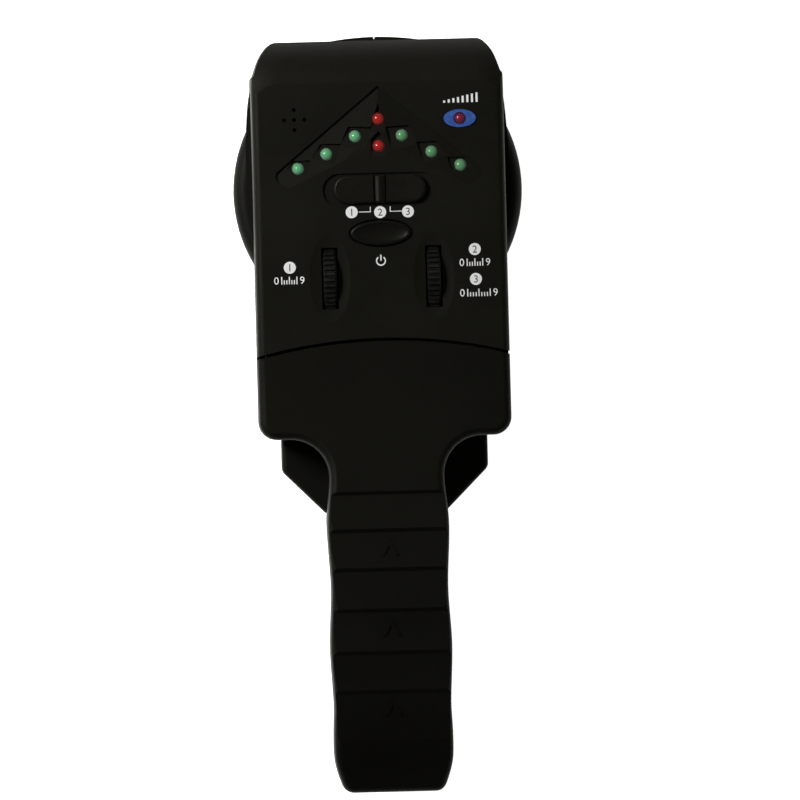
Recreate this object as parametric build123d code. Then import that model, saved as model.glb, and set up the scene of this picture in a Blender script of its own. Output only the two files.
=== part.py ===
"""Hand-held wood / metal / live-wire wall detector.

Row frame: millimetres, +Z up, away from the wall; +Y towards the marking nose; +X to the right when the
controls face the user. Origin: centre of the round search coil, on the flat face that slides on the wall.
"""
import math
import os

from build123d import *

os.makedirs("parts", exist_ok=True)

# ---------------------------------------------------------------- driving dimensions
DISC_R = 37.3            # round search-coil housing
NOSE_Y = 39.7            # tip of the marking nose
FRONT_Y = 38.6           # straight front edge
HEAD_HW = 32.5           # half width of the head
HEAD_TOP = 31.5          # control face
HEAD_REAR = -63.9        # rear edge of the wide part
SHOULDER_R = 4.7
SPLIT_Z = 16.0           # covers above, lower shell below
GRIP_SPLIT_Z = 25.0      # the same split along the grip
FLANGE_Z = 9.5           # top of the base flange
GRIP_BOTTOM = 14.0
GRIP_END = -155.3
ARC_R = 129.0            # parting curve between head cover and handle cover
ARC_APEX = -38.6
ARC_GAP = 0.8
WALL = 2.0
FOOT_HW = 26.6
FOOT_TOP = 12.0
SOLE_T = 2.0
EDGE_R = 1.8             # rounding of the covers' top edges
HOOD_Z = 24.4            # height of the sloping hood at the front edge
HOOD_RUN = 10.8          # how far the hood slopes back
HOOD_MID_Z = 28.95       # its height 4.3 behind the front edge
CORNER_X, CORNER_Y = 25.7, 21.0   # centre of the hood's turned corners

LED_R = 1.58
LED_POS = {
    "led_left_outer": (-20.95, 5.9),
    "led_left_middle": (-13.55, 9.5),
    "led_left_inner": (-6.05, 13.9),
    "led_right_inner": (6.05, 13.9),
    "led_right_middle": (13.55, 9.5),
    "led_right_outer": (20.95, 5.9),
    "led_centre_upper": (0.0, 18.3),
    "led_centre_lower": (0.0, 11.3),
}
POWER_LED = (21.05, 17.9)
SOUND = (-21.6, 18.5)
SOUND_PITCH = 2.6
WHEEL_X, WHEEL_Y, WHEEL_Z = 13.4, -22.6, 24.6
WHEEL_R, WHEEL_W, WHEEL_TEETH = 9.5, 3.4, 40
KNOB_W, KNOB_H = 24.0, 7.4
SLIDE_PITCH = 2.4        # travel from the middle to either end position
BUTTON_Y = -11.15
BUTTON_RX, BUTTON_RY = 8.3, 3.65   # opening half axes
BUTTON_TRAVEL = 0.8
PCB_Z0, PCB_T = 20.0, 1.6
BATT_W, BATT_L, BATT_H = 26.5, 48.5, 17.5
BATT_Y0 = -139.0         # rear end of the battery
BATT_Z0 = 16.4
DOOR_Y0 = -90.0          # front edge of the sliding battery door
CREST_Y = [-77.6, -87.3, -97.4, -107.9, -118.8, -128.9]   # finger ridges along the grip
COIL_RI, COIL_RO = 25.6, 31.2
COIL_ROOM_R, COIL_CEIL = 32.7, 7.2
BASE_Z = 0.8             # the rim of the coil housing stays clear of the wall; only the sole plate and the foot touch
FOOT_Y = -16.0
BAY_HW = 13.45
SCALLOP = 0.62           # step behind each finger ridge
ARM_D, STEP_D, SCOOP_D = 0.75, 1.3, 0.3
TRACK_D = 0.75           # depth of the slide's track
BOARD_SCREWS = [(-10.5, 20.2), (10.5, 20.2), (-26.0, -30.5), (26.0, -30.5)]


# ---------------------------------------------------------------- helpers
def box(x0, x1, y0, y1, z0, z1):
    return Pos((x0 + x1) / 2, (y0 + y1) / 2, (z0 + z1) / 2) * Box(abs(x1 - x0), abs(y1 - y0), abs(z1 - z0))


def cyl(x, y, z0, z1, r):
    return Pos(x, y, (z0 + z1) / 2) * Cylinder(r, z1 - z0)


def cyl_x(x0, x1, y, z, r):
    return Pos((x0 + x1) / 2, y, z) * Rot(0, 90, 0) * Cylinder(r, abs(x1 - x0))


def cyl_y(x, y0, y1, z, r):
    return Pos(x, (y0 + y1) / 2, z) * Rot(90, 0, 0) * Cylinder(r, abs(y1 - y0))


def prism(face, z0, z1):
    """Plan face at z = 0 pulled up between two heights."""
    return Pos(0, 0, z0) * extrude(face, z1 - z0, dir=(0, 0, 1))


def poly(points):
    return make_face(Polyline(*points, close=True))


def plan(points, z0, z1):
    return prism(poly(points), z0, z1)


def side(points, x0, x1):
    """Polygon of (y, z) points pulled along X."""
    face = make_face(Polyline(*[(x0, y, z) for y, z in points], close=True))
    return extrude(face, x1 - x0, dir=(1, 0, 0))


def side_face(edges):
    return make_face(edges)


def racetrack(w, h):
    return SlotOverall(w, h)


def hexagon_socket(x, y, z0, z1, r=1.0):
    return plan([(x + r * math.cos(a), y + r * math.sin(a)) for a in [k * math.pi / 3 for k in range(6)]], z0, z1)


def cross_slot(x, y, z0, z1, s=1.7, t=0.5):
    return box(x - s, x + s, y - t / 2, y + t / 2, z0, z1) + box(x - t / 2, x + t / 2, y - s, y + s, z0, z1)


def group(solids):
    """Several separate solids of one kind in one node."""
    flat = []
    for s in solids:
        flat += list(s.solids())
    return Compound(flat)


def one(shape):
    """The largest solid of a result, dropping slivers from a cut."""
    return max(shape.solids(), key=lambda s: s.volume)


PARTS = {}


def keep(name, shape):
    PARTS[name] = shape


# ---------------------------------------------------------------- outlines
def closed(right):
    """Face from the right-hand half of an outline and its mirror image."""
    edges = []
    for e in right:
        edges.append(e)
        edges.append(mirror(e, Plane.YZ))
    return make_face(Wire(sum([list(e.edges()) for e in edges], [])))


def body_outline():
    """Plan outline of the head and grip."""
    q = math.sin(math.pi / 4)
    return closed([
        Line((0, FRONT_Y), (CORNER_X, FRONT_Y)),
        Spline((CORNER_X, FRONT_Y), (28.2, 37.4), (30.5, 33.9), (31.8, 30.3), (HEAD_HW, CORNER_Y), tangents=[(1, 0), (0, -1)]),
        Line((HEAD_HW, CORNER_Y), (HEAD_HW, HEAD_REAR + SHOULDER_R)),
        ThreePointArc((HEAD_HW, HEAD_REAR + SHOULDER_R), (HEAD_HW - SHOULDER_R * (1 - q), HEAD_REAR + SHOULDER_R * (1 - q)),
                      (HEAD_HW - SHOULDER_R, HEAD_REAR)),
        Line((HEAD_HW - SHOULDER_R, HEAD_REAR), (24.7, HEAD_REAR)),
        ThreePointArc((24.7, HEAD_REAR), (24.7 - 10 * q, HEAD_REAR - 10 + 10 * q), (14.7, HEAD_REAR - 10)),
        Spline((14.7, HEAD_REAR - 10), (15.55, -84.0), (15.6, -89.0), (14.95, -102.9), (15.6, -117.5), (15.0, -133.5),
               (15.3, -142.5), tangents=[(0, -1), (0, -1)]),
        Spline((15.3, -142.5), (15.05, -147.4), (13.75, -152.2), (10.4, GRIP_END), tangents=[(0, -1), (-1, 0)]),
        Line((10.4, GRIP_END), (0, GRIP_END)),
    ])


def inner_outline():
    """Plan outline of the room inside the walls."""
    q = math.sin(math.pi / 4)
    w = HEAD_HW - WALL
    return closed([
        Line((0, FRONT_Y - WALL), (24.4, FRONT_Y - WALL)),
        Line((24.4, FRONT_Y - WALL), (28.5, 33.2)),
        Line((28.5, 33.2), (29.9, 28.5)),
        Line((29.9, 28.5), (w, CORNER_Y - 3)),
        Line((w, CORNER_Y - 3), (w, -60.0)),
        ThreePointArc((w, -60.0), (w - 1.9 * (1 - q), -60.0 - 1.9 * q), (w - 1.9, HEAD_REAR + WALL)),
        Line((w - 1.9, HEAD_REAR + WALL), (24.7, HEAD_REAR + WALL)),
        ThreePointArc((24.7, HEAD_REAR + WALL), (24.7 - 12 * q, HEAD_REAR - 10 + 12 * q), (12.7, HEAD_REAR - 10)),
        Line((12.7, HEAD_REAR - 10), (BAY_HW, -82.0)),
        Line((BAY_HW, -82.0), (BAY_HW, -139.0)),
        Line((BAY_HW, -139.0), (12.9, -147.5)),
        Line((12.9, -147.5), (11.4, -151.4)),
        Line((11.4, -151.4), (9.2, GRIP_END + WALL)),
        Line((9.2, GRIP_END + WALL), (0, GRIP_END + WALL)),
    ])


TOP_POINTS = [(-44.0, 31.5), (-64.0, 33.0), (-77.0, 34.9), (-90.5, 36.6), (-105.0, 37.4), (-118.0, 37.6), (-139.0, 36.7),
              (-149.0, 34.9), (GRIP_END, 32.3)]


def top_z(y):
    """Height of the handle's top line before the finger scallops (piecewise linear reading of the curve's points)."""
    pts = TOP_POINTS
    if y >= pts[0][0]:
        return HEAD_TOP
    for (ya, za), (yb, zb) in zip(pts, pts[1:]):
        if yb <= y <= ya:
            t = (ya - y) / (ya - yb)
            return za + t * (zb - za)
    return pts[-1][1]


def profile_edges(P, y_front=FRONT_Y):
    return [
        ThreePointArc(P(y_front, HOOD_Z), P(y_front - 4.3, HOOD_MID_Z), P(y_front - HOOD_RUN, HEAD_TOP)),
        Line(P(y_front - HOOD_RUN, HEAD_TOP), P(-44, HEAD_TOP)),
        Spline(*[P(y, z) for y, z in TOP_POINTS], tangents=[(0, -1, 0), (0, -0.9, -0.42)]),
        Line(P(GRIP_END, TOP_POINTS[-1][1]), P(GRIP_END, GRIP_BOTTOM)),
        Line(P(GRIP_END, GRIP_BOTTOM), P(-88.0, GRIP_BOTTOM)),
        Line(P(-88.0, GRIP_BOTTOM), P(-84.0, 10.0)),
        Line(P(-84.0, 10.0), P(y_front, 10.0)),
        Line(P(y_front, 10.0), P(y_front, HOOD_Z)),
    ]


def profile_solid(x, drop=0.0):
    """Side profile of the head and grip pulled across the width, with the hood wrapping round the front corners."""
    P = lambda y, z: (-x, y, z)
    face = make_face(Wire(sum([list(e.edges()) for e in profile_edges(P)], [])))
    full = extrude(face, 2 * x, dir=(1, 0, 0))
    # keep the middle strip and everything behind the corner centres, then add a turned corner on each side
    mid = full & box(-CORNER_X, CORNER_X, -200, 60, 0, 60)
    rear = full & box(-x, x, -200, CORNER_Y, 0, 60)
    solid = mid + rear
    for s in (-1, 1):
        Q = lambda r, z: (s * CORNER_X + r, CORNER_Y, z)
        rf = FRONT_Y - CORNER_Y
        ring = make_face(Wire(sum([list(e.edges()) for e in [
            Line(Q(0, 10), Q(0, HEAD_TOP)), Line(Q(0, HEAD_TOP), Q(rf - HOOD_RUN, HEAD_TOP)),
            ThreePointArc(Q(rf - HOOD_RUN, HEAD_TOP), Q(rf - 4.3, HOOD_MID_Z), Q(rf, HOOD_Z)),
            Line(Q(rf, HOOD_Z), Q(rf + 1, HOOD_Z - 0.8)), Line(Q(rf + 1, HOOD_Z - 0.8), Q(rf + 1, 10)),
            Line(Q(rf + 1, 10), Q(0, 10))]], [])))
        turned = revolve(ring, Axis((s * CORNER_X, CORNER_Y, 0), (0, 0, 1)), 360)
        turned = turned & box(s * CORNER_X, s * 60, CORNER_Y, 60, 0, 60)
        solid = solid + turned
    return solid


def on_outline(edge, wire, low):
    return all(p.Z > low and wire.distance_to(Vector(p.X, p.Y, 0)) < 0.01 for p in (edge @ 0.1, edge @ 0.5, edge @ 0.9))


def main_body():
    """Outer shape of the head and grip as one solid, with its edges rounded and the finger scallops cut."""
    outline = body_outline()
    wire = outline.faces()[0].outer_wire()
    body = one(prism(outline, 5, 45) & profile_solid(45))
    body = one(fillet([e for e in body.edges() if on_outline(e, wire, 24.0) and (e @ 0.5).Y < CORNER_Y], EDGE_R))
    low = [e for e in body.edges() if on_outline(e, wire, 5.0) and (e @ 0.5).Z < 14.5 and (e @ 0.5).Y < -85.5
           and min((e @ 0).Z, (e @ 1).Z) > 13.9]
    body = one(fillet(low, 2.0))
    # each finger ridge drops away steeply behind its crest, and the floor climbs back to the next crest
    for ya, yb in zip(CREST_Y, CREST_Y[1:] + [CREST_Y[-1] - 13.0]):
        P = lambda y, z: (-20, y, z)
        low_y = ya - 1.0
        ym = (low_y + yb) / 2
        floor = top_z(low_y) - SCALLOP
        cut = make_face(Wire(sum([list(e.edges()) for e in [
            Line(P(ya + 0.3, 42), P(ya + 0.3, top_z(ya) + 0.25)), Line(P(ya + 0.3, top_z(ya) + 0.25), P(low_y, floor)),
            ThreePointArc(P(low_y, floor), P(ym, top_z(ym) - SCALLOP * 0.72), P(yb, top_z(yb) + 0.02)),
            Line(P(yb, top_z(yb) + 0.02), P(yb, 42)), Line(P(yb, 42), P(ya + 0.3, 42))]], [])))
        body = body - extrude(cut, 40, dir=(1, 0, 0))
    return one(body)


def flange():
    """Round coil housing with the flared front and the marking nose."""
    P = lambda r, z: (r, 0, z)
    ring = make_face(Wire(sum([list(e.edges()) for e in [
        Line(P(0, BASE_Z), P(DISC_R - 1.0, BASE_Z)),
        ThreePointArc(P(DISC_R - 1.0, BASE_Z), P(DISC_R - 0.293, BASE_Z + 0.293), P(DISC_R, BASE_Z + 1.0)),
        Line(P(DISC_R, BASE_Z + 1.0), P(DISC_R, FLANGE_Z - 3.2)),
        ThreePointArc(P(DISC_R, FLANGE_Z - 3.2), P(DISC_R - 0.75, FLANGE_Z - 1.15), P(DISC_R - 3.4, FLANGE_Z)),
        Line(P(DISC_R - 3.4, FLANGE_Z), P(0, FLANGE_Z)),
        Line(P(0, FLANGE_Z), P(0, BASE_Z))]], [])))
    disc = revolve(ring, Axis.Z, 360)
    front = prism(body_outline(), BASE_Z, 10.5) & box(-50, 50, 5.0, 60, 0, 20)
    flare = [(30.6, 31.5), (32.75, 25.0), (33.5, 18.5), (34.0, 12.0)]
    sides = make_face(Wire(sum([list(e.edges()) for e in [
        Line((-30.6, 31.5), (30.6, 31.5)), Spline(*flare), Line((34.0, 12.0), (34.0, 5)), Line((34.0, 5), (-34.0, 5)),
        Line((-34.0, 5), (-34.0, 12.0)), Spline(*[(-x, y) for x, y in flare[::-1]])]], [])))
    nose = make_face(Wire(sum([list(e.edges()) for e in [
        Line((-12.5, FRONT_Y), (-12.5, 30)), Line((-12.5, 30), (12.5, 30)), Line((12.5, 30), (12.5, FRONT_Y)),
        ThreePointArc((12.5, FRONT_Y), (0, NOSE_Y), (-12.5, FRONT_Y))]], [])))
    base = disc + front + prism(sides, BASE_Z, FLANGE_Z) + prism(nose, BASE_Z, FLANGE_Z)
    return base - plan([(-0.6, NOSE_Y + 1), (0, NOSE_Y - 0.9), (0.6, NOSE_Y + 1)], BASE_Z - 1, 14)


def foot_outline(inset=0.0):
    w, n = FOOT_HW - inset, 15.7 - inset * 0.5
    yr, ys = -83.0 + inset, -72.1 + inset * 0.4
    face = poly([(-w, FOOT_Y + inset), (w, FOOT_Y + inset), (w, ys), (n, yr), (-n, yr), (-w, ys)])
    return face


def foot_block():
    """Solid foot with its rear corners and the edges of its shoulders rounded."""
    f = prism(foot_outline(), 0, 12.5)
    f = fillet([e for e in f.edges().filter_by(Axis.Z) if abs(abs((e @ 0).X) - FOOT_HW) < 0.1 and (e @ 0).Y < -60], 2.6)
    f = fillet([e for e in f.edges() if min((e @ 0).Z, (e @ 1).Z, (e @ 0.5).Z) > 12.4 and (e @ 0.5).Y < -20
                and abs((e @ 0.5).X) > 5], 1.1)
    return one(f)


def ellipse_prism(x, y, rx, ry, z0, z1):
    return Pos(x, y, z0) * extrude(Ellipse(rx, ry), z1 - z0, dir=(0, 0, 1))


# ---------------------------------------------------------------- casing
def casing():
    outline = body_outline()
    body = main_body()
    inner_face = inner_outline()
    roof = Pos(0, 0, -WALL) * profile_solid(45)
    room = prism(inner_face, 14.5, 60) & roof
    upper = side([(60, SPLIT_Z + 0.15), (-66, SPLIT_Z + 0.15), (-78, GRIP_SPLIT_Z + 0.15), (-170, GRIP_SPLIT_Z + 0.15),
                  (-170, 60), (60, 60)], -50, 50)
    lower = side([(60, SPLIT_Z), (-66, SPLIT_Z), (-78, GRIP_SPLIT_Z), (-170, GRIP_SPLIT_Z), (-170, -5), (60, -5)], -50, 50)

    # ---- covers
    top = (body & upper) - room
    arc = lambda r, z0, z1: cyl(0, ARC_APEX - ARC_R, z0, z1, r)
    head = one(top - arc(ARC_R + ARC_GAP / 2, 0, 60))
    rear = one(top & arc(ARC_R - ARC_GAP / 2, 0, 60))
    head = head_details(head)
    # tongue that runs under the head cover
    rear = rear + ((arc(ARC_R + 2.2, 27.6, 29.35) - arc(ARC_R - 3, 27, 31)) & box(-29.0, 29.0, -60, 0, 0, 60))
    rear = rear + ((arc(ARC_R - 0.6, 27.6, 29.8) - arc(ARC_R - 3, 27, 31)) & box(-29.0, 29.0, -60, 0, 0, 60))
    for s in (-1, 1):
        rear = rear + box(s * 28.9, s * 30.35, -47.0, -39.8, 18.0, 29.0) + box(s * 28.9, s * 30.8, -47.0, -44.0, 18.0, 29.0)
        rear = rear + cyl(s * 20, -54, 16.15, 31.0, 3.0) - cyl(s * 20, -54, 16.0, 26.0, 1.4)
    rear = rear + cyl(0, -146.6, GRIP_SPLIT_Z + 0.15, 34.5, 3.2) - cyl(0, -146.6, 20, 32.0, 1.4)
    rear = rear - box(-50, 50, -200, 60, 60, 61)
    # raised pointers along the grip
    lifted = Pos(0, 0, 0.4) * body
    for yc in (-92.0, -112.6, -133.2):
        mark = (plan([(0, yc + 2.25), (2.3, yc - 2.25), (1.45, yc - 2.25), (0, yc + 0.45), (-1.45, yc - 2.25), (-2.3, yc - 2.25)],
                     35.4, 42) & lifted)
        rear = rear + mark
    keep("head_cover", one(head))
    keep("handle_cover", one(rear))

    # ---- lower shell
    low = (body & lower) + flange() + (foot_block() & lower)
    low = low - (prism(inner_face, 12, 60) & side([(60, 12), (-83, 12), (-87.0, 16.35), (-92, 16.35), (-92, 60), (60, 60)], -40, 40))
    low = low - prism(foot_outline(2.0), 2.0, 10.6) - (prism(foot_outline(2.0), 10.6, 13) & prism(inner_face, 0, 60))
    low = low - (cyl(0, 0, 9.0, 13, 31.0) & prism(inner_face, 0, 60))
    low = low - cyl(0, 0, -1, COIL_CEIL, COIL_ROOM_R)
    # battery bay, rear pocket, door way
    low = low - box(-BAY_HW, BAY_HW, BATT_Y0 - 0.5, -90, 16.3, 60)
    low = low - (prism(inner_face, 18.6, 60) & box(-50, 50, -160, BATT_Y0 - 2.0, 0, 60))
    low = low + (cyl(0, -146.6, 16.4, GRIP_SPLIT_Z, 3.2))
    low = low - cyl(0, -146.6, 10, 18.6, 2.9) - cyl(0, -146.6, 10, 30, 1.5)
    low = low - box(-13.4, 13.4, -170, DOOR_Y0, 10, 16.35) - box(-13.9, 13.9, -170, DOOR_Y0, 14.9, 15.8)
    # lip that guides the covers
    for s in (-1, 1):
        low = low + box(s * 29.4, s * 30.7, -58.0, 18.0, 12.5, SPLIT_Z) + box(s * 29.4, s * 30.4, -58.0, 18.0, SPLIT_Z - 0.5, 17.6)
    # screw posts
    for s in (-1, 1):
        low = low + (cyl(s * 24.5, 27, 9, SPLIT_Z, 3.0))
        low = low - cyl(s * 24.5, 27, -1, 3.2, 2.75) - cyl(s * 24.5, 27, 0, 17, 1.5)
        low = low + cyl(s * 20, -54, 1.5, SPLIT_Z, 3.4)
        low = low - cyl(s * 20, -54, -1, 3.2, 2.75) - cyl(s * 20, -54, 0, 17, 1.5)
    # posts for the sensor board and holes for wires in the coil ceiling
    for k in range(3):
        a = math.radians(90 + 120 * k)
        low = low + cyl(17 * math.cos(a), 17 * math.sin(a), 5.2, COIL_CEIL + 0.1, 1.8)
    low = low - cyl(-4, -28.5, 6, 12, 0.9) - cyl(4, -28.5, 6, 12, 0.9) - box(-3.2, 3.2, 7.0, 8.8, 6.5, 12)
    keep("lower_shell", one(low))
    return body


def wedge(points, slope):
    """Pocket cut: plan polygon, with a floor that climbs along a line (y_deep, depth) to (y_flush, 0)."""
    (yd, depth), yf = slope
    floor = side([(yd + 6, HEAD_TOP - depth * (1 + 6 / (yd - yf))), (yf, HEAD_TOP), (yf, HEAD_TOP + 3), (yd + 6, HEAD_TOP + 3)], -40, 40)
    return plan(points, HEAD_TOP - 3, HEAD_TOP + 3) & floor


def head_details(head):
    # thicker plate behind the lights, so that their pockets do not break through
    head = head + plan([(0, 24.5), (-24.5, 7.5), (-25.5, 3.0), (-16.0, 2.4), (-8.0, 5.6), (8.0, 5.6), (16.0, 2.4), (25.5, 3.0), (24.5, 7.5)],
                       28.7, 29.6)
    # arrow-shaped recess round the lights
    apex, cx_, cy_ = 26.8, 26.5, 5.0
    ang = math.atan2(apex - cy_, cx_)
    run = 9.0
    for s in (-1, 1):
        # floor of one arm: deep along the outer line, flush after "run"
        L = math.hypot(cx_, apex - cy_)
        tri = plan([(0, apex), (s * cx_, cy_), (s * (cx_ + 0.35), cy_ - 1.2), (s * (cx_ - 0.3), cy_ - 2.6), (s * (cx_ - 3.0), cy_ - 4.2),
                    (0, 12.0)], HEAD_TOP - 3, HEAD_TOP + 3)
        w = extrude(make_face(Polyline((0, 4, -ARM_D * (run + 4) / run), (0, -run, 0), (0, -run, 3), (0, 4, 3), close=True)), 80, dir=(1, 0, 0))
        w = Pos(-40, 0, 0) * w
        w = Pos(0, apex, HEAD_TOP) * Rot(0, 0, -s * math.degrees(ang)) * w
        head = head - (tri & w)
    # stepped pockets that hold the lights
    for s in (-1, 1):
        head = head - wedge([(s * 24.6, 4.9), (s * 22.2, 7.9), (s * 17.6, 8.0), (s * 19.0, 3.2), (s * 23.4, 2.8)], ((7.9, STEP_D), 3.0))
        head = head - wedge([(s * 17.6, 8.2), (s * 15.0, 12.1), (s * 9.7, 12.1), (s * 11.6, 6.6), (s * 16.6, 6.4)], ((12.1, STEP_D), 6.4))
        head = head - wedge([(s * 9.8, 12.0), (s * 7.8, 16.4), (s * 1.8, 16.2), (s * 3.2, 10.6), (s * 8.9, 10.4)], ((16.3, STEP_D), 10.4))
    head = head - wedge([(0, 22.4), (1.9, 16.2), (1.9, 14.6), (-1.9, 14.6), (-1.9, 16.2)], ((20.0, STEP_D), 14.6))
    head = head - wedge([(0, 15.1), (2.0, 13.0), (1.9, 8.6), (-1.9, 8.6), (-2.0, 13.0)], ((14.6, STEP_D), 8.6))
    for x, y in LED_POS.values():
        head = head - cyl(x, y, 20, 40, LED_R + 0.05)
    # sound holes
    for dx, dy in ((0, 0), (1, 0), (-1, 0), (0, 1), (0, -1)):
        head = head - cyl(SOUND[0] + dx * SOUND_PITCH, SOUND[1] + dy * SOUND_PITCH, 20, 40, 0.5)
    # window of the power light
    head = head - ellipse_prism(*POWER_LED, 4.2, 2.35, HEAD_TOP - 0.5, 40) - ellipse_prism(*POWER_LED, 3.6, 1.9, 20, 40)
    # track of the mode switch
    head = head - prism(Pos(0, 0.1) * SlotOverall(29.4, 8.5), HEAD_TOP - TRACK_D, 40) - box(-4.5, 4.5, -1.5, 1.7, 20, 40)
    # power button
    head = head - ellipse_prism(0, BUTTON_Y, BUTTON_RX, BUTTON_RY, 20, 40)
    # thumbwheel scoops and slots
    for s in (-1, 1):
        # shallow bowl: the low end of a large ellipsoid whose centre stands above the face
        bowl = Pos(s * WHEEL_X, WHEEL_Y, HEAD_TOP + 9 * SCOOP_D) * scale(Sphere(1), by=(5.3 / 0.436, 11.2 / 0.436, 10 * SCOOP_D))
        head = head - bowl
        head = head - box(s * WHEEL_X - 2.1, s * WHEEL_X + 2.1, WHEEL_Y - 7.95, WHEEL_Y + 7.95, 20, 40)
        head = head - cyl_x(s * WHEEL_X - 2.1, s * WHEEL_X + 2.1, WHEEL_Y, WHEEL_Z, WHEEL_R + 0.4)
    # bosses: case screws and board screws
    for s in (-1, 1):
        head = head + (cyl(s * 24.5, 27, SPLIT_Z + 0.15, 29.7, 2.4)) - cyl(s * 24.5, 27, 10, 26, 1.4)
    for x, y in BOARD_SCREWS:
        head = head + cyl(x, y, PCB_Z0 + PCB_T, 29.7, 2.3) - cyl(x, y, 10, 27, 1.0)
    return head


# ---------------------------------------------------------------- fasteners
def pan_screw(x, y, z_head, head_h, head_r, z_tip, r):
    """Screw put in from below: head at the bottom, cross slot in its face."""
    s = cyl(x, y, z_head, z_head + head_h, head_r) + cyl(x, y, z_head, z_tip - r, r)
    s = s + Pos(x, y, z_tip - r / 2) * Cone(r, r * 0.2, r)
    return s - cross_slot(x, y, z_head - 1, z_head + head_h * 0.55, head_r * 0.62, 0.5)


def led(x, y, top):
    z = top - LED_R
    return (cyl(x, y, z - 3.8, z - 2.8, 1.9) + cyl(x, y, z - 2.8, z, LED_R) +
            (Pos(x, y, z) * Sphere(LED_R) & box(x - 3, x + 3, y - 3, y + 3, z - 0.01, z + 5)))


casing()
keep("front_case_screws", group([pan_screw(s * 24.5, 27, 1.0, 2.0, 2.6, 22.0, 1.4) for s in (-1, 1)]))
keep("rear_case_screws", group([pan_screw(s * 20, -54, 0.6, 2.4, 2.6, 24.0, 1.4) for s in (-1, 1)]))
keep("grip_screw", pan_screw(0, -146.6, 16.5, 2.0, 2.6, 30.0, 1.4))
keep("board_screws", group([pan_screw(x, y, PCB_Z0 - 1.6, 1.6, 2.0, 26.0, 1.0) for x, y in BOARD_SCREWS]))

# ---------------------------------------------------------------- lights
for name, (x, y) in LED_POS.items():
    keep(name, led(x, y, 31.75))
keep("power_led", led(POWER_LED[0], POWER_LED[1], 32.35))
bezel = ellipse_prism(*POWER_LED, 4.15, 2.3, HEAD_TOP - 0.5, HEAD_TOP + 0.45) + ellipse_prism(*POWER_LED, 3.55, 1.85, 28.6, HEAD_TOP)
bezel = bezel - cyl(*POWER_LED, 20, 40, LED_R + 0.02)
keep("power_bezel", bezel)
leads = []
for name, (x, y) in list(LED_POS.items()) + [("power_led", POWER_LED)]:
    top = 32.35 if name == "power_led" else 31.75
    for s in (-1, 1):
        leads.append(box(x + s * 1.27 - 0.25, x + s * 1.27 + 0.25, y - 0.25, y + 0.25, PCB_Z0 + PCB_T, top - LED_R - 3.8))
keep("led_leads", group(leads))

# ---------------------------------------------------------------- main board
PCB_TOP = PCB_Z0 + PCB_T
board = plan([(-28.5, -33.5), (-27, -35), (27, -35), (28.5, -33.5), (28.5, 21), (27, 22.5), (-27, 22.5), (-28.5, 21)], PCB_Z0, PCB_TOP)
for s in (-1, 1):
    board = board - box(s * WHEEL_X - 2.3, s * WHEEL_X + 2.3, WHEEL_Y - 9.9, WHEEL_Y + 9.9, 10, 40)
for x, y in BOARD_SCREWS:
    board = board - cyl(x, y, 10, 40, 1.1)
keep("main_board", board)


def dip(x, y, w, n):
    """Through-hole chip lying along X with n legs a side."""
    s = box(x - w / 2, x + w / 2, y - 3.2, y + 3.2, PCB_TOP + 0.5, PCB_TOP + 3.8)
    s = s - cyl(x - w / 2, y, PCB_TOP + 3.3, PCB_TOP + 5, 0.9)
    for k in range(n):
        lx = x + (k - (n - 1) / 2) * 2.54
        for q in (-1, 1):
            s = s + box(lx - 0.3, lx + 0.3, y + q * 3.1, y + q * 3.95, PCB_TOP + 1.6, PCB_TOP + 2.0)
            s = s + box(lx - 0.3, lx + 0.3, y + q * 3.65, y + q * 3.95, PCB_TOP, PCB_TOP + 2.0)
    return s


keep("controller_ic", dip(-17.4, -4.0, 18.6, 7))
keep("amplifier_ic", dip(16.6, -4.0, 9.6, 4))
keep("electrolytic_capacitors", group([cyl(x, y, PCB_TOP, PCB_TOP + 7.0, 2.5) for x, y in ((25.3, -4.0), (25.3, -11.0), (-24.0, -13.0))]))
keep("ceramic_capacitors", group([box(x - 2.0, x + 2.0, y - 0.9, y + 0.9, PCB_TOP, PCB_TOP + 4.0)
                                  for x, y in ((-14.5, 2.2), (14.5, 2.2), (5.4, 21.0), (-4.5, -32.4), (4.5, -32.4))]))
keep("resistors", group([cyl_x(-3.2, 3.2, y, PCB_TOP + 0.95, 0.95) + cyl_x(-4.6, 4.6, y, PCB_TOP + 0.95, 0.3)
                         + box(-4.6, -4.1, y - 0.25, y + 0.25, PCB_TOP, PCB_TOP + 1.0) + box(4.1, 4.6, y - 0.25, y + 0.25, PCB_TOP, PCB_TOP + 1.0)
                         for y in (-18.3, -20.9, -23.5, -26.1, -28.7)]))


def transistor(x, y):
    s = cyl(x, y, PCB_TOP + 1.5, PCB_TOP + 6.3, 2.3) - box(x + 1.2, x + 4, y - 4, y + 4, 10, 40)
    for k in (-1, 0, 1):
        s = s + box(x - 0.2, x + 0.2, y + 1.27 * k - 0.2, y + 1.27 * k + 0.2, PCB_TOP, PCB_TOP + 2)
    return s


keep("transistors", group([transistor(x, y) for x, y in ((20.6, -20.0), (20.6, -26.5), (-20.6, -20.0), (-20.6, -26.5))]))
buzzer = cyl(*SOUND, PCB_TOP, 29.2, 6.0) - cyl(*SOUND, 28.2, 30, 1.2) - cyl(*SOUND, 24.0, 28.4, 4.8)
keep("piezo_buzzer", buzzer)

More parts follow.
